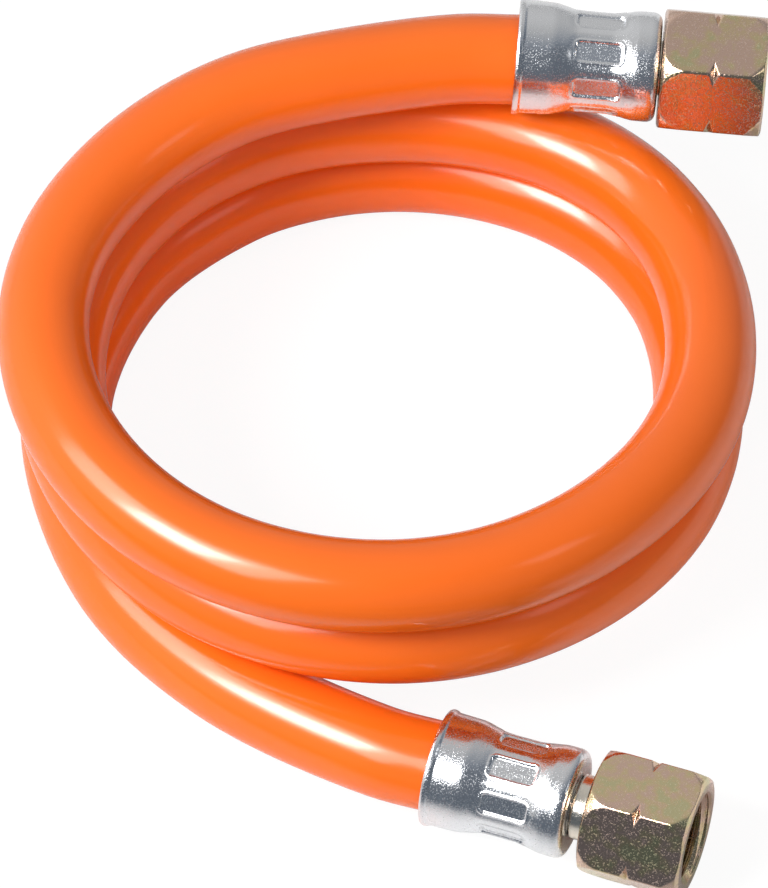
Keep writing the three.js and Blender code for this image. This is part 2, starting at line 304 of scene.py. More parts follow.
def smooth_route(points, pieces=10):
    """A centripetal Catmull-Rom curve through the points, as a fine line."""
    ends = [2 * points[0] - points[1], *points, 2 * points[-1] - points[-2]]
    line = []
    for p0, p1, p2, p3 in zip(ends, ends[1:], ends[2:], ends[3:]):
        d0, d1, d2 = (math.sqrt((b - a).length) for a, b in ((p0, p1), (p1, p2), (p2, p3)))
        rise_1 = ((p1 - p0) / d0 - (p2 - p0) / (d0 + d1) + (p2 - p1) / d1) * d1
        rise_2 = ((p2 - p1) / d1 - (p3 - p1) / (d1 + d2) + (p3 - p2) / d2) * d1
        for i in range(pieces):
            t = i / pieces
            square = -3 * p1 + 3 * p2 - 2 * rise_1 - rise_2
            cube = 2 * p1 - 2 * p2 + rise_1 + rise_2
            line.append(p1 + rise_1 * t + square * t**2 + cube * t**3)
    return [*line, points[-1]]


def make_camera():
    """Looks along +Y and down, from the photo's elevation."""
    camera = bpy.data.objects.new("camera", bpy.data.cameras.new("camera"))
    bpy.context.scene.collection.objects.link(camera)
    back = Vector((0, -math.cos(VIEW_ELEVATION), math.sin(VIEW_ELEVATION)))
    up = Vector((0, math.sin(VIEW_ELEVATION), math.cos(VIEW_ELEVATION)))
    target = coil_middle + Vector((AIM_RIGHT, 0, 0)) + up * AIM_UP
    camera.location = target + back * VIEW_DISTANCE
    camera.rotation_mode = "QUATERNION"
    camera.rotation_quaternion = (-back).to_track_quat("-Z", "Y")
    camera.data.lens = VIEW_LENS
    camera.data.sensor_width = VIEW_SENSOR
    camera.data.clip_start = VIEW_NEAR
    camera.data.clip_end = VIEW_FAR
    bpy.context.scene.camera = camera


# Node trees: values in a tree are combined with plain arithmetic


class Value:
    """One value in a node tree. Arithmetic on it adds the Math nodes that work it out."""

    def __init__(self, tree, socket):
        self.tree = tree
        self.socket = socket

    def math(self, operation, *others):
        node = self.tree.nodes.new("ShaderNodeMath")
        node.operation = operation
        for slot, value in zip(node.inputs, (self, *others)):
            feed(self.tree, slot, value)
        return Value(self.tree, node.outputs[0])

    def __add__(self, other):
        return self.math("ADD", other)

    def __sub__(self, other):
        return self.math("SUBTRACT", other)

    def __mul__(self, other):
        return self.math("MULTIPLY", other)

    def __truediv__(self, other):
        return self.math("DIVIDE", other)

    def __abs__(self):
        return self.math("ABSOLUTE")

    def ease(self, low, high, start=0.0, end=1.0):
        """Goes smoothly from start to end as the value goes from low to high."""
        node = self.tree.nodes.new("ShaderNodeMapRange")
        node.interpolation_type = "SMOOTHSTEP"
        for slot, value in zip(node.inputs, (self, low, high, start, end)):
            feed(self.tree, slot, value)
        return Value(self.tree, node.outputs[0])

    def mix(self, other, share):
        """This value where share is 0, and the other one where it is 1."""
        return self + (Value(self.tree, feed_new(self.tree, other)) - self) * share


def feed(tree, slot, value):
    """Links a value or socket to a node's input, or writes a plain number there."""
    if isinstance(value, Value):
        tree.links.new(value.socket, slot)
    elif isinstance(value, bpy.types.NodeSocket):
        tree.links.new(value, slot)
    else:
        slot.default_value = value


def feed_new(tree, value):
    """A socket that holds the value."""
    if isinstance(value, Value):
        return value.socket
    node = tree.nodes.new("ShaderNodeValue")
    node.outputs[0].default_value = value
    return node.outputs[0]


def add_node(tree, kind, inputs=None, **settings):
    """A new node with its settings and inputs, named as in the node's own panel."""
    node = tree.nodes.new(kind)
    for name, value in settings.items():
        setattr(node, name, value)
    for name, value in (inputs or {}).items():
        feed(tree, node.inputs[name], value)
    return node


class ShapingTree:
    """A geometry node tree that moves the points of a blank by a rule, and gives it its finish."""

    def __init__(self, name, sizes):
        self.tree = bpy.data.node_groups.new(name, "GeometryNodeTree")
        sockets = self.tree.interface
        sockets.new_socket(name="Geometry", in_out="INPUT", socket_type="NodeSocketGeometry")
        for label, size in sizes.items():
            kind = "NodeSocketInt" if isinstance(size, int) else "NodeSocketFloat"
            sockets.new_socket(name=label, in_out="INPUT", socket_type=kind).default_value = size
        sockets.new_socket(name="Finish", in_out="INPUT", socket_type="NodeSocketMaterial")
        sockets.new_socket(name="Geometry", in_out="OUTPUT", socket_type="NodeSocketGeometry")
        self.entry = self.tree.nodes.new("NodeGroupInput")
        self.blank = self.entry.outputs["Geometry"]
        position = self.tree.nodes.new("GeometryNodeInputPosition")
        parts = add_node(self.tree, "ShaderNodeSeparateXYZ", {0: position.outputs[0]})
        self.position = position.outputs[0]
        self.x, self.y, self.z = (Value(self.tree, out) for out in parts.outputs)
        self.radius = (self.x * self.x + self.y * self.y).math("SQRT")
        self.angle = self.y.math("ARCTAN2", self.x)

    def size(self, label):
        return Value(self.tree, self.entry.outputs[label])

    def put(self, position, geometry=None):
        """Moves the points to the new position, then realizes, finishes and puts out the piece."""
        moved = add_node(self.tree, "GeometryNodeSetPosition",
                         {"Geometry": geometry or self.blank, "Position": position})
        whole = add_node(self.tree, "GeometryNodeRealizeInstances", {"Geometry": moved.outputs[0]})
        finished = add_node(self.tree, "GeometryNodeSetMaterial",
                            {"Geometry": whole.outputs[0], "Material": self.entry.outputs["Finish"]})
        leave = self.tree.nodes.new("NodeGroupOutput")
        self.tree.links.new(finished.outputs[0], leave.inputs[0])
        return self.tree

    def put_radius(self, radius):
        """Moves each point straight out or in to the new radius, at its own angle and height."""
        spot = add_node(self.tree, "ShaderNodeCombineXYZ", {
            "X": radius * self.angle.math("COSINE"),
            "Y": radius * self.angle.math("SINE"),
            "Z": self.z,
        })
        return self.put(spot.outputs[0])


def shaped(name, blank, tree, **inputs):
    """The blank as the tree shapes it, as an object with a plain mesh."""
    modifier = blank.modifiers.new(name, "NODES")
    modifier.node_group = tree
    for socket in tree.interface.items_tree:
        label = socket.name.lower().replace(" ", "_")
        if socket.in_out == "INPUT" and label in inputs:
            modifier[socket.identifier] = inputs[label]
    bpy.context.view_layer.update()
    depsgraph = bpy.context.evaluated_depsgraph_get()
    mesh = bpy.data.meshes.new_from_object(
        blank.evaluated_get(depsgraph), preserve_all_data_layers=True, depsgraph=depsgraph)
    blank.modifiers.remove(modifier)
    bpy.data.objects.remove(blank)
    mesh.name = name
    piece = bpy.data.objects.new(name, mesh)
    bpy.context.scene.collection.objects.link(piece)
    return piece


def rounded_section(corners, arc_steps=6):
    """Points of a closed section. A corner is (radius, z, rounding, spacing up to the next corner)."""
    places = [Vector(corner[:2]) for corner in corners]
    arcs = []
    for i, (corner, (_, _, rounding, _)) in enumerate(zip(places, corners)):
        before = places[i - 1] - corner
        after = places[(i + 1) % len(places)] - corner
        if rounding:
            tangent = rounding / math.tan(before.angle(after) / 2)
            reach = min(tangent, LONGEST_FILLET * before.length, LONGEST_FILLET * after.length)
            start, end = corner + before.normalized() * reach, corner + after.normalized() * reach
            steps = [k / arc_steps for k in range(arc_steps + 1)]
            arcs.append([start * (1 - t) ** 2 + corner * 2 * t * (1 - t) + end * t**2 for t in steps])
        else:
            arcs.append([corner])
    points = []
    for i, (arc, (_, _, _, spacing)) in enumerate(zip(arcs, corners)):
        start, goal = arc[-1], arcs[(i + 1) % len(arcs)][0]
        parts = max(1, round((goal - start).length / spacing))
        points += [*arc, *(start.lerp(goal, k / parts) for k in range(1, parts))]
    return points


def ring_blank(name, section, columns, place=None):
    """A ring about +Z with this closed section, as a mesh of quads with its faces outwards."""
    rows = len(section)
    angles = [math.tau * i / columns for i in range(columns)] if place is None else place
    vertices = [(r * math.cos(a), r * math.sin(a), z) for a in angles for r, z in section]
    columns = len(angles)
    faces = []
    for i in range(columns):
        here, there = i * rows, ((i + 1) % columns) * rows
        for j in range(rows):
            k = (j + 1) % rows
            faces.append((here + j, there + j, there + k, here + k))
    mesh = bpy.data.meshes.new(name)
    mesh.from_pydata(vertices, [], faces)
    shell = bmesh.new()
    shell.from_mesh(mesh)
    bmesh.ops.recalc_face_normals(shell, faces=shell.faces)
    shell.to_mesh(mesh)
    shell.free()
    mesh.shade_smooth()
    blank = bpy.data.objects.new(name, mesh)
    bpy.context.scene.collection.objects.link(blank)
    return blank


# Materials


def new_material(name):
    material = bpy.data.materials.new(name)
    material.use_nodes = True
    tree = material.node_tree
    return material, tree, tree.nodes["Principled BSDF"]


def noise(tree, vector, scale, detail, roughness=0.5):
    node = add_node(tree, "ShaderNodeTexNoise", {
        "Vector": vector, "Scale": scale, "Detail": detail, "Roughness": roughness,
    })
    return Value(tree, node.outputs["Fac"])


def colour_mix(tree, first, second, share):
    node = add_node(tree, "ShaderNodeMix", {}, data_type="RGBA")
    for slot, value in (("A_Color", first), ("B_Color", second)):
        feed(tree, next(s for s in node.inputs if s.identifier == slot), value)
    feed(tree, node.inputs[0], share)
    return node.outputs[2]


def named_group(name, inputs, outputs):
    """An empty shader node group with named inputs and outputs, with its entry and exit."""
    group = bpy.data.node_groups.new(name, "ShaderNodeTree")
    for label, (kind, value) in inputs.items():
        socket = group.interface.new_socket(name=label, in_out="INPUT", socket_type=kind)
        if value is not None:
            socket.default_value = value
    for label, kind in outputs.items():
        group.interface.new_socket(name=label, in_out="OUTPUT", socket_type=kind)
    entry = group.nodes.new("NodeGroupInput")
    leave = group.nodes.new("NodeGroupOutput")
    return group, entry.outputs, leave.inputs


def plated_grain_group():
    """The speckled skin of plated steel: small steep pimples on a smooth ground, and fine scratches."""
    group, inputs, outputs = named_group(
        "plated_grain",
        {
            "Place": ("NodeSocketVector", None),
            "Grains": ("NodeSocketFloat", 3600.0),
            "Height": ("NodeSocketFloat", 0.03 * MM),
            "Scratches": ("NodeSocketFloat", 700.0),
            "Scratch Depth": ("NodeSocketFloat", 0.004 * MM),
        },
        {"Normal": "NodeSocketVector", "Pimples": "NodeSocketFloat"},
    )
    skin = noise(group, inputs["Place"], inputs["Grains"], 1.5, 0.5)
    pimples = skin.ease(0.5, 0.72)
    turned = add_node(group, "ShaderNodeMapping",
                      {"Vector": inputs["Place"], "Rotation": (0.4, 0.3, 0.7), "Scale": (1, 0.08, 1)})
    streaks = noise(group, turned.outputs[0], inputs["Scratches"], 2.0)
    lines = abs(streaks - 0.5).ease(0.0, 0.02, 1.0, 0.0)
    height = pimples * Value(group, inputs["Height"]) - lines * Value(group, inputs["Scratch Depth"])
    bump = add_node(group, "ShaderNodeBump", {"Height": height, "Distance": 1.0, "Strength": 1.0})
    group.links.new(bump.outputs[0], outputs["Normal"])
    group.links.new(pimples.socket, outputs["Pimples"])
    return group


def passivation_group():
    """The tint of yellow passivation: straw in broad patches with rose and olive, finely mottled."""
    group, inputs, outputs = named_group(
        "passivation",
        {
            "Place": ("NodeSocketVector", None),
            "Patches": ("NodeSocketFloat", 160.0),
            "Straw": ("NodeSocketColor", (0.74, 0.58, 0.34, 1)),
            "Rose": ("NodeSocketColor", (0.75, 0.53, 0.42, 1)),
            "Olive": ("NodeSocketColor", (0.65, 0.59, 0.34, 1)),
        },
        {"Colour": "NodeSocketColor"},
    )
    broad = noise(group, inputs["Place"], inputs["Patches"], 2.0)
    mottle = noise(group, inputs["Place"], Value(group, inputs["Patches"]) * 4.0, 3.0, 0.6)
    wander = broad + (mottle - 0.5) * 0.6
    warm = colour_mix(group, inputs["Straw"], inputs["Rose"], wander.ease(0.38, 0.6))
    tint = colour_mix(group, warm, inputs["Olive"], wander.ease(0.44, 0.3))
    group.links.new(tint, outputs["Colour"])
    return group


def group_node(tree, group, **inputs):
    node = tree.nodes.new("ShaderNodeGroup")
    node.node_tree = group
    for label, value in inputs.items():
        feed(tree, node.inputs[label.replace("_", " ").title()], value)
    return node.outputs


def hose_material():
    """Glossy orange PVC, with faint lines along it from the die that it was drawn through."""
    material, tree, surface = new_material("orange_hose")
    place = add_node(tree, "ShaderNodeAttribute", attribute_name="straight").outputs["Vector"]
    drawn = add_node(tree, "ShaderNodeMapping", {"Vector": place, "Scale": (1, 1, DIE_LINE_STRETCH)})
    lines = noise(tree, drawn.outputs[0], DIE_LINES, 3)
    ripples = noise(tree, place, RIPPLES, 2)
    colour = colour_mix(tree, ORANGE, DEEP_ORANGE, noise(tree, place, COLOUR_PATCHES, 2))
    height = lines * DIE_LINE_DEPTH + ripples * RIPPLE_DEPTH
    bump = add_node(tree, "ShaderNodeBump", {"Height": height, "Distance": 1.0, "Strength": 1.0})
    tree.links.new(colour, surface.inputs["Base Color"])
    tree.links.new(bump.outputs[0], surface.inputs["Normal"])
    surface.inputs["Roughness"].default_value = 0.5
    surface.inputs["Specular IOR Level"].default_value = 0.0
    surface.inputs["Coat Weight"].default_value = 1.0
    surface.inputs["Coat Roughness"].default_value = 0.18
    return material


def metal_material(name, grain, colour, roughness, speckle, **grain_inputs):
    """A plated finish, whose pimples are barer than the ground between them and rougher by speckle."""
    material, tree, surface = new_material(name)
    place = add_node(tree, "ShaderNodeTexCoord").outputs["Object"]
    skin = group_node(tree, grain, place=place, **grain_inputs)
    tree.links.new(skin["Normal"], surface.inputs["Normal"])
    base = colour
    if isinstance(colour, bpy.types.NodeTree):
        base = group_node(tree, colour, place=place)["Colour"]
    pimples = Value(tree, skin["Pimples"])
    tree.links.new(colour_mix(tree, base, BARE_ZINC, pimples * BARE_SHARE), surface.inputs["Base Color"])
    feed(tree, surface.inputs["Roughness"], pimples * speckle + roughness)
    surface.inputs["Metallic"].default_value = 1
    return material


# Pieces


def straight_hose_section(length):
    """Half section of the hose before it is laid, with both ends squeezed outside and spread inside."""
    step = SEAT_GAP
    gripped = INSERTION - SQUEEZE_START
    free = INSERTION - FREE_END
    bore_end = INSERTION - TAIL_TIP
    return rounded_section([
        (OPENED_RADIUS, 0, 0, MM),
        (CRIMPED_RADIUS, 0, 0, MM),
        (CRIMPED_RADIUS, gripped, 0, MM),
        (HOSE_RADIUS, free, 0, RING_SPACING),
        (HOSE_RADIUS, length - free, 0, MM),
        (CRIMPED_RADIUS, length - gripped, 0, MM),
        (CRIMPED_RADIUS, length, 0, MM),
        (OPENED_RADIUS, length, 0, MM),
        (OPENED_RADIUS, length - bore_end, 0, step),
        (BORE_RADIUS, length - bore_end - step, 0, 2 * RING_SPACING),
        (BORE_RADIUS, bore_end + step, 0, step),
        (OPENED_RADIUS, bore_end, 0, MM),
    ])


def laying_tree():
    """Lays a straight blank along a route: its height becomes the distance along the curve."""
    shaping = ShapingTree("lay along the route", {})
    tree = shaping.tree
    tree.interface.new_socket(name="Route", in_out="INPUT", socket_type="NodeSocketObject")
    stored = add_node(tree, "GeometryNodeStoreNamedAttribute",
                      {"Geometry": shaping.blank, "Name": "straight", "Value": shaping.position},
                      data_type="FLOAT_VECTOR")
    route = add_node(tree, "GeometryNodeObjectInfo", {"Object": shaping.entry.outputs["Route"]})
    spot = add_node(tree, "GeometryNodeSampleCurve",
                    {"Curves": route.outputs["Geometry"], "Length": shaping.z},
                    mode="LENGTH", data_type="FLOAT")
    normal, tangent = spot.outputs["Normal"], spot.outputs["Tangent"]
    side = add_node(tree, "ShaderNodeVectorMath", {0: tangent, 1: normal}, operation="CROSS_PRODUCT")
    out = add_node(tree, "ShaderNodeVectorMath", {0: normal, "Scale": shaping.x}, operation="SCALE")
    across = add_node(tree, "ShaderNodeVectorMath",
                      {0: side.outputs[0], "Scale": shaping.y}, operation="SCALE")
    middle = add_node(tree, "ShaderNodeVectorMath", {0: spot.outputs["Position"], 1: out.outputs[0]})
    place = add_node(tree, "ShaderNodeVectorMath", {0: middle.outputs[0], 1: across.outputs[0]})
    return shaping.put(place.outputs[0], stored.outputs[0])


def make_hose(line):
    curve = bpy.data.curves.new("hose_route", "CURVE")
    curve.dimensions = "3D"
    spline = curve.splines.new("POLY")
    spline.points.add(len(line) - 1)
    for point, place in zip(spline.points, line):
        point.co = (*place, 1)
    route = bpy.data.objects.new("hose_route", curve)
    bpy.context.scene.collection.objects.link(route)
    length = sum((b - a).length for a, b in zip(line, line[1:]))
    blank = ring_blank("hose_blank", straight_hose_section(length), HOSE_SIDES)
    hose = shaped("orange_hose", blank, laying_tree(), route=route, finish=hose_material())
    bpy.data.objects.remove(route)
    return hose


def ferrule_section():
    """Half section of the pressed sleeve, from its mouth round the outside to its inturned end wall."""
    waist_start = INDENT_MIDDLE - INDENT_LENGTH / 2
    waist_end = INDENT_MIDDLE + INDENT_LENGTH / 2
    fine = 0.13 * MM
    return rounded_section([
        (MOUTH_RADIUS, 0, 0.25 * MM, MM),
        (LIP_RADIUS - LIP_EDGE, 0, 0.2 * MM, fine),
        (LIP_RADIUS, LIP_CREST_START, 0.3 * MM, fine),
        (LIP_RADIUS - SLIGHT_RISE, LIP_CREST_END, 0.25 * MM, fine),
        (BELL_RADIUS + LIP_FOOT, LIP_LENGTH, 0.3 * MM, fine),
        (BELL_RADIUS + FAINT_RISE, BELL_LENGTH - BELL_BEND, 5 * MM, 2 * fine),
        (WAIST_RADIUS + SLIGHT_RISE, waist_start, 5 * MM, fine),
        (WAIST_RADIUS, waist_start + WAIST_RUN_IN, 3 * MM, fine),
        (WAIST_RADIUS, waist_end - WAIST_RUN_OUT, 5 * MM, fine),
        (SHOULDER_RADIUS - FAINT_RISE, FERRULE_LENGTH - SHOULDER_LENGTH, 4 * MM, fine),
        (SHOULDER_RADIUS, FERRULE_LENGTH, 1.5 * MM, 3 * fine),
        (GROOVE_RADIUS + SEAT_GAP, FERRULE_LENGTH, 0.25 * MM, MM),
        (GROOVE_RADIUS + SEAT_GAP, WALL_START, 0, MM),
        (GRIP_RADIUS, WALL_START, 0, 2 * MM),
        (GRIP_RADIUS, GRIP_START, 0, MM),
    ])


def indent_tree():
    """Presses a ring of flat-floored indents into the side of a sleeve."""
    shaping = ShapingTree("crimp indents", {
        "Count": INDENT_COUNT,
        "Indent Length": INDENT_LENGTH,
        "Indent Width": INDENT_WIDTH,
        "Indent Corner": INDENT_CORNER,
        "Indent Depth": INDENT_DEPTH,
        "Indent Edge": INDENT_EDGE,
        "Indent Middle": INDENT_MIDDLE,
        "Waist Radius": WAIST_RADIUS,
        "Border Height": 0.1 * MM,
        "Border Width": 0.34 * MM,
        "Dip Depth": 0.1 * MM,
        "Dip Width": 1.3 * MM,
        "Outside From": GRIP_RADIUS + 0.6 * MM,
    })
    half_sector = Value(shaping.tree, feed_new(shaping.tree, math.pi)) / shaping.size("Count")
    turn = shaping.angle.math("WRAP", half_sector, half_sector * -1)
    corner = shaping.size("Indent Corner")
    across = abs(turn * shaping.size("Waist Radius")) - shaping.size("Indent Width") / 2 + corner
    along = abs(shaping.z - shaping.size("Indent Middle")) - shaping.size("Indent Length") / 2 + corner
    outer_across = across.math("MAXIMUM", 0.0)
    outer_along = along.math("MAXIMUM", 0.0)
    outside = (outer_across * outer_across + outer_along * outer_along).math("SQRT")
    inside = across.math("MAXIMUM", along).math("MINIMUM", 0.0)
    distance = outside + inside - corner
    pressed = distance.ease(shaping.size("Indent Edge") * -1, 0.0, 1.0, 0.0)
    floor = (shaping.size("Waist Radius") - shaping.size("Indent Depth")) / turn.math("COSINE")
    border_width = shaping.size("Border Width")
    border = abs(distance).ease(0.0, border_width, 1.0, 0.0) * shaping.size("Border Height")
    dip = distance.ease(0.0, shaping.size("Dip Width"), 1.0, 0.0) * shaping.size("Dip Depth")
    on_outside = shaping.radius.math("GREATER_THAN", shaping.size("Outside From"))
    wall = shaping.radius + (border - dip) * on_outside
    radius = wall.mix(wall.math("MINIMUM", floor), pressed)
    return shaping.put_radius(radius)


def stem_section():
    """Half section of the turned stem: gas bore, barbed tail, collar, groove, neck, head and cone."""
    collar_end = WALL_START - SEAT_GAP
    pitch = (INSERTION - TAIL_TIP - 2 * BARB_STEP) / BARB_COUNT
    corners = [(GAS_BORE_RADIUS, TAIL_TIP, 0.1 * MM, MM)]
    for i in range(BARB_COUNT):
        start = TAIL_TIP + BARB_STEP + i * pitch
        corners.append((BARB_ROOT_RADIUS, start, 0.05 * MM, MM))
        corners.append((BARB_CREST_RADIUS, start + pitch - BARB_STEP, 0.05 * MM, MM))
    edge = 0.15 * MM
    nose_end = HEAD_START + HEAD_LENGTH + NOSE_LENGTH
    corners += [
        (BARB_ROOT_RADIUS, INSERTION, 0.05 * MM, MM),
        (NECK_RADIUS, INSERTION + SEAT_GAP, edge, MM),
        (NECK_RADIUS, collar_end, edge, MM),
        (GROOVE_RADIUS, collar_end, edge, MM),
        (GROOVE_RADIUS, FERRULE_LENGTH + SEAT_GAP, edge, MM),
        (NECK_RADIUS, FERRULE_LENGTH + SEAT_GAP, edge, 0.3 * MM),
        (NECK_RADIUS, HEAD_START, edge, 0.3 * MM),
        (HEAD_RADIUS, HEAD_START, edge, MM),
        (HEAD_RADIUS, HEAD_START + HEAD_LENGTH, 0.4 * MM, 0.5 * MM),
        (NOSE_RADIUS, nose_end, 0.5 * MM, 0.5 * MM),
        (GAS_BORE_RADIUS, nose_end, 0.2 * MM, MM),
    ]
    return rounded_section(corners)


def nut_section():
    """Half section of the round bar that the nut is cut from, with its chamfers, mark and bore."""
    fine = 0.11 * MM
    corner_radius = HALF_FLATS + CHAMFER_HEIGHT
    middle_radius = HALF_FLATS + REAR_BEVEL_RISE
    wide = corner_radius + BAR_SPARE
    middle = NUT_LENGTH / 2
    mark_root = HALF_FLATS / math.cos(math.pi / HEX_SIDES) - MARK_DEPTH
    mark_rise = (wide - mark_root) * MARK_WIDTH / 2 / MARK_DEPTH
    front_cone = NUT_LENGTH - (NUT_MOUTH_RADIUS - THREAD_MINOR)
    return rounded_section([
        (NUT_HOLE_RADIUS, 0, 0.3 * MM, MM),
        (REAR_FACE_RADIUS, 0, 0.15 * MM, fine),
        (HALF_FLATS + EDGE_HEIGHT, EDGE_LENGTH, 0.2 * MM, fine),
        (middle_radius, REAR_CHAMFER / 2, 1.0 * MM, fine),
        (corner_radius, REAR_CHAMFER, 0.8 * MM, fine),
        (wide, REAR_CHAMFER + REAR_RUN_OUT, 0, 0.6 * MM),
        (wide, middle - mark_rise - MARK_MARGIN, 0, fine),
        (wide, middle - mark_rise, 0, 0.6 * fine),
        (mark_root, middle, 0.05 * MM, 0.6 * fine),
        (wide, middle + mark_rise, 0, fine),
        (wide, middle + mark_rise + MARK_MARGIN, 0, 0.6 * MM),
        (wide, NUT_LENGTH - FRONT_CHAMFER - FRONT_RUN_OUT, 0, fine),
        (corner_radius, NUT_LENGTH - FRONT_CHAMFER, 0.6 * MM, fine),
        (HALF_FLATS + EDGE_HEIGHT, NUT_LENGTH - EDGE_LENGTH, 0.2 * MM, fine),
        (FRONT_FACE_RADIUS, NUT_LENGTH, 0.15 * MM, 0.3 * MM),
        (NUT_MOUTH_RADIUS, NUT_LENGTH, 0.15 * MM, THREAD_PITCH / 12),
        (THREAD_MINOR, front_cone, 0, THREAD_PITCH / 12),
        (THREAD_MINOR, REAR_WALL + RELIEF_LENGTH, 0, 0.3 * MM),
        (RELIEF_RADIUS, REAR_WALL + RELIEF_LENGTH - 0.1 * MM, 0, 0.5 * MM),
        (RELIEF_RADIUS, REAR_WALL, 0.3 * MM, MM),
        (NUT_HOLE_RADIUS, REAR_WALL, 0.2 * MM, MM),
    ])


def nut_columns():
    """Angles of the nut's columns, close together where the hexagon's corners are rounded."""
    corner_turn = math.radians(CORNER_TURN)
    sector = math.tau / HEX_SIDES
    on_flat = NUT_COLUMNS // HEX_SIDES - CORNER_COLUMNS
    corner_step = 2 * corner_turn / CORNER_COLUMNS
    angles = []
    for side in range(HEX_SIDES):
        start = side * sector
        angles += [start - corner_turn + corner_step * i for i in range(CORNER_COLUMNS)]
        flat_turn = sector - 2 * corner_turn
        angles += [start + corner_turn + flat_turn * i / on_flat for i in range(on_flat)]
    return angles


def hexagon_tree():
    """Cuts a turned bar to a hexagon with rounded corners, and its bore to a left-hand thread."""
    shaping = ShapingTree("hexagon nut", {
        "Half Flats": HALF_FLATS,
        "Corner Radius": HEX_CORNER,
        "Edge Softness": EDGE_SOFTNESS,
        "Thread Minor": THREAD_MINOR,
        "Thread Depth": THREAD_MAJOR - THREAD_MINOR,
        "Thread Pitch": THREAD_PITCH,
        "Thread Start": REAR_WALL + RELIEF_LENGTH,
    })
    half_side = math.pi / HEX_SIDES
    flats, corner = shaping.size("Half Flats"), shaping.size("Corner Radius")
    turn = (shaping.angle - half_side).math("WRAP", half_side, -half_side)
    flat_side = flats / turn.math("COSINE")
    to_corner = abs(turn) * -1 + half_side
    corner_centre = (flats - corner) / math.cos(half_side)
    sideways = corner_centre * to_corner.math("SINE")
    inner = (corner * corner - sideways * sideways).math("MAXIMUM", 0.0).math("SQRT")
    round_side = corner_centre * to_corner.math("COSINE") + inner
    corner_starts = ((flats - corner) * math.tan(half_side) / flats).math("ARCTANGENT")
    on_corner = abs(turn).math("GREATER_THAN", corner_starts)
    hexagon = flat_side.mix(round_side, on_corner)
    outside = shaping.radius.math("SMOOTH_MIN", hexagon, shaping.size("Edge Softness"))
    phase = shaping.z / shaping.size("Thread Pitch") + shaping.angle / math.tau
    ridge = abs(phase.math("FRACT") * 2 - 1) * -FLANK_SLOPE + (1 + FLANK_SLOPE) / 2
    groove = ridge.math("MAXIMUM", 0.0).math("MINIMUM", 1.0)
    thread = shaping.size("Thread Minor") + groove * shaping.size("Thread Depth")
    in_bore = shaping.z.math("GREATER_THAN", shaping.size("Thread Start"))
    radius = outside.mix(outside.math("MAXIMUM", thread), in_bore)
    return shaping.put_radius(radius)


def plain_tree():
    """Leaves the shape as it is and gives it its finish."""
    shaping = ShapingTree("turned piece", {})
    return shaping.put(shaping.position)


def place_piece(piece, axis, distance, turn, body, node):
    piece.data.transform(axis.matrix(distance, turn))
    piece.data.update()
    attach(piece, body)
    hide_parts(node)
    return piece


def make_fitting(name, axis, turns, nut_start, trees, finishes):
    """The ferrule, stem and union nut of one end."""
    indent_turn, nut_turn = turns
    indents, hexagon, turned = trees
    zinc, stem_finish, nut_finish = finishes
    blank = ring_blank(f"{name}_ferrule_blank", ferrule_section(), FERRULE_COLUMNS)
    ferrule = shaped(f"{name}_crimped_ferrule", blank, indents, finish=zinc)
    place_piece(ferrule, axis, 0, indent_turn, "hose_line", f"{name}_ferrule")
    blank = ring_blank(f"{name}_stem_blank", stem_section(), STEM_COLUMNS)
    stem = shaped(f"{name}_barbed_stem", blank, turned, finish=stem_finish)
    place_piece(stem, axis, 0, 0, "hose_line", f"{name}_stem")
    blank = ring_blank(f"{name}_nut_blank", nut_section(), NUT_COLUMNS, nut_columns())
    nut = shaped(f"{name}_hexagon_nut", blank, hexagon, finish=nut_finish)
    place_piece(nut, axis, nut_start, nut_turn, f"{name}_nut", f"{name}_union_nut")
    return [ferrule, stem, nut]


# Stage


def light_path(tree):
    """1 for camera rays, and 1 for the glossy and transmission rays that metal and gloss send out."""
    path = add_node(tree, "ShaderNodeLightPath")
    camera, glossy, through = (
        Value(tree, path.outputs[f"Is {kind} Ray"]) for kind in ("Camera", "Glossy", "Transmission"))
    return camera, glossy.math("MAXIMUM", through)


def make_floor():
    size = FLOOR_SIZE
    mesh = bpy.data.meshes.new("floor")
    corners = [(-size, -size, 0), (size, -size, 0), (size, size, 0), (-size, size, 0)]
    mesh.from_pydata(corners, [], [(0, 1, 2, 3)])
    floor = bpy.data.objects.new("floor", mesh)
    bpy.context.scene.collection.objects.link(floor)
    material = bpy.data.materials.new("floor")
    material.use_nodes = True
    tree = material.node_tree
    tree.nodes.clear()
    camera = light_path(tree)[0]
    spot = add_node(tree, "ShaderNodeTexCoord").outputs["Object"]
    place = add_node(tree, "ShaderNodeSeparateXYZ", {0: spot})
    # Painted dark reflection: for gloss and bounce light the floor is dark in front of the coil, while the
    # view sees it white
    brightness = Value(tree, place.outputs["Y"]).ease(STRIP_END, BRIGHT_START)
    painted_reflection_sheet = colour_mix(tree, PAINTED_DARK_REFLECTION, BRIGHT_COLOUR, brightness)
    plain = add_node(tree, "ShaderNodeBsdfDiffuse", {"Color": painted_reflection_sheet})
    shaded = add_node(tree, "ShaderNodeBsdfDiffuse", {"Color": FLOOR_SHADED})
    glow = add_node(tree, "ShaderNodeEmission", {"Strength": FLOOR_GLOW})
    seen = add_node(tree, "ShaderNodeAddShader", {0: shaded.outputs[0], 1: glow.outputs[0]})
    chosen = add_node(tree, "ShaderNodeMixShader", {0: camera, 1: plain.outputs[0], 2: seen.outputs[0]})
    add_node(tree, "ShaderNodeOutputMaterial", {"Surface": chosen.outputs[0]})
    mesh.materials.append(material)


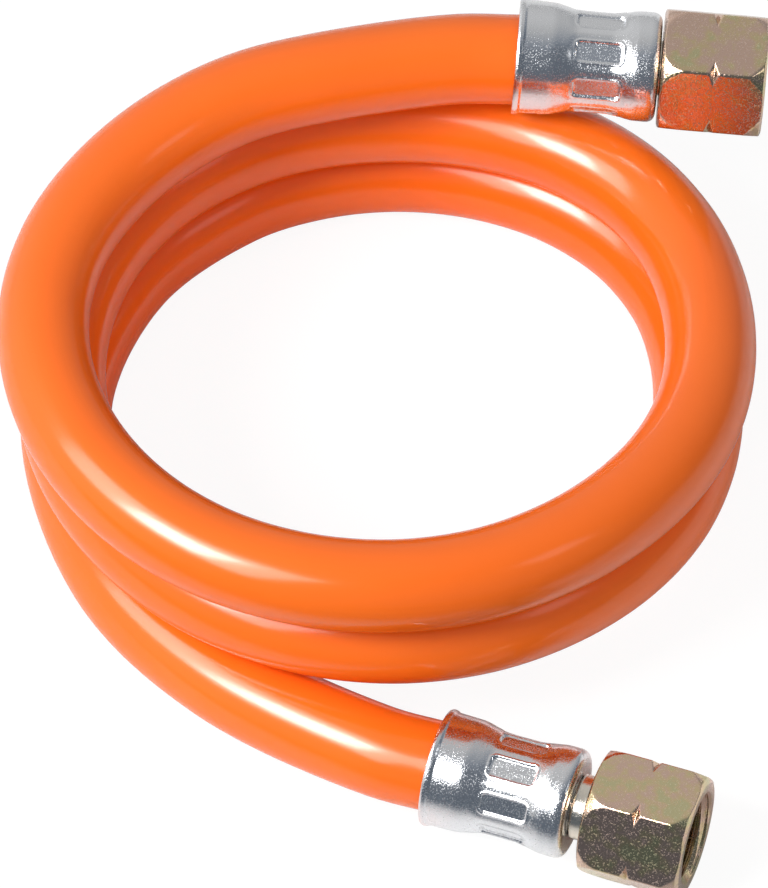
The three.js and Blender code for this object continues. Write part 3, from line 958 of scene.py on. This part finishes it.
def make_world():
    """White behind the object; in its gloss, a studio that is bright on the left and dark on the right."""
    world = bpy.data.worlds.new("studio")
    world.use_nodes = True
    tree = world.node_tree
    tree.nodes.clear()
    camera, mirrored = light_path(tree)
    heading = add_node(tree, "ShaderNodeTexCoord").outputs["Generated"]
    way = add_node(tree, "ShaderNodeSeparateXYZ", {0: heading})
    x, y, z = (Value(tree, out) for out in way.outputs)
    left = x.math("MINIMUM", 0.0)
    dome = z * DOME_TOP + y * DOME_BACK + x * DOME_RIGHT + left * left * DOME_LEFT + DOME_LEVEL
    dome = dome.math("MAXIMUM", DOME_DARKEST).math("MINIMUM", DOME_BRIGHTEST)
    tint = colour_mix(tree, DARK_TINT, WHITE, dome.ease(TINT_START, TINT_END))
    fill = y * FILL_BACK + FILL_LEVEL
    lit = add_node(tree, "ShaderNodeBackground", {"Color": WHITE, "Strength": fill})
    studio = add_node(tree, "ShaderNodeBackground", {"Color": tint, "Strength": dome})
    white = add_node(tree, "ShaderNodeBackground", {"Color": WHITE, "Strength": 1.0})
    unseen = add_node(tree, "ShaderNodeMixShader", {0: mirrored, 1: lit.outputs[0], 2: studio.outputs[0]})
    chosen = add_node(tree, "ShaderNodeMixShader", {0: camera, 1: unseen.outputs[0], 2: white.outputs[0]})
    add_node(tree, "ShaderNodeOutputWorld", {"Surface": chosen.outputs[0]})
    bpy.context.scene.world = world


def soft_box(name, azimuth, elevation, distance, width, height, power):
    """A rectangular lamp that faces the coil. Azimuth 0 is the camera's side, and 90 is +X."""
    light = bpy.data.lights.new(name, "AREA")
    light.shape = "RECTANGLE"
    light.size = width
    light.size_y = height
    light.energy = power
    lamp = bpy.data.objects.new(name, light)
    a, e = math.radians(azimuth), math.radians(elevation)
    way = Vector((math.sin(a) * math.cos(e), -math.cos(a) * math.cos(e), math.sin(e)))
    lamp.location = way * distance
    lamp.rotation_mode = "QUATERNION"
    lamp.rotation_quaternion = (-way).to_track_quat("-Z", "Y")
    bpy.context.scene.collection.objects.link(lamp)
    return lamp


def make_lights():
    """A main lamp, a wide one that shows only in gloss, and a weak one at the side."""
    soft_box("key_light", -62, 47, distance=1.2, width=0.45, height=0.42, power=12.8)
    halo = soft_box("key_halo", -64, 48, distance=1.25, width=1.3, height=0.75, power=19)
    halo.visible_diffuse = False
    soft_box("side_light", 70, 40, distance=1.2, width=0.3, height=0.25, power=0.3)


make_camera()
route = smooth_route(route_points())
hose = make_hose(route)
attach(hose, "hose_line")
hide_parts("hose")

tools = (indent_tree(), hexagon_tree(), plain_tree())
grain = plated_grain_group()
passivation = passivation_group()
finishes = (
    metal_material("zinc_ferrule", grain, ZINC, roughness=0.17, speckle=0.16,
                   grains=5000.0, height=0.009 * MM),
    metal_material("stem_finish", grain, STEM_STRAW, roughness=0.18, speckle=0.05,
                   height=0.004 * MM),
    metal_material("nut_finish", grain, passivation, roughness=0.12, speckle=0.26,
                   grains=4200.0, height=0.009 * MM),
)
make_fitting("upper", upper, (UPPER_INDENT_TURN, UPPER_NUT_TURN), UPPER_NUT_START, tools, finishes)
lower_end = make_fitting(
    "lower", lower, (LOWER_INDENT_TURN, LOWER_NUT_TURN), LOWER_NUT_START, tools, finishes)

make_floor()
make_world()
make_lights()

bpy.context.scene.view_settings.view_transform = "Standard"
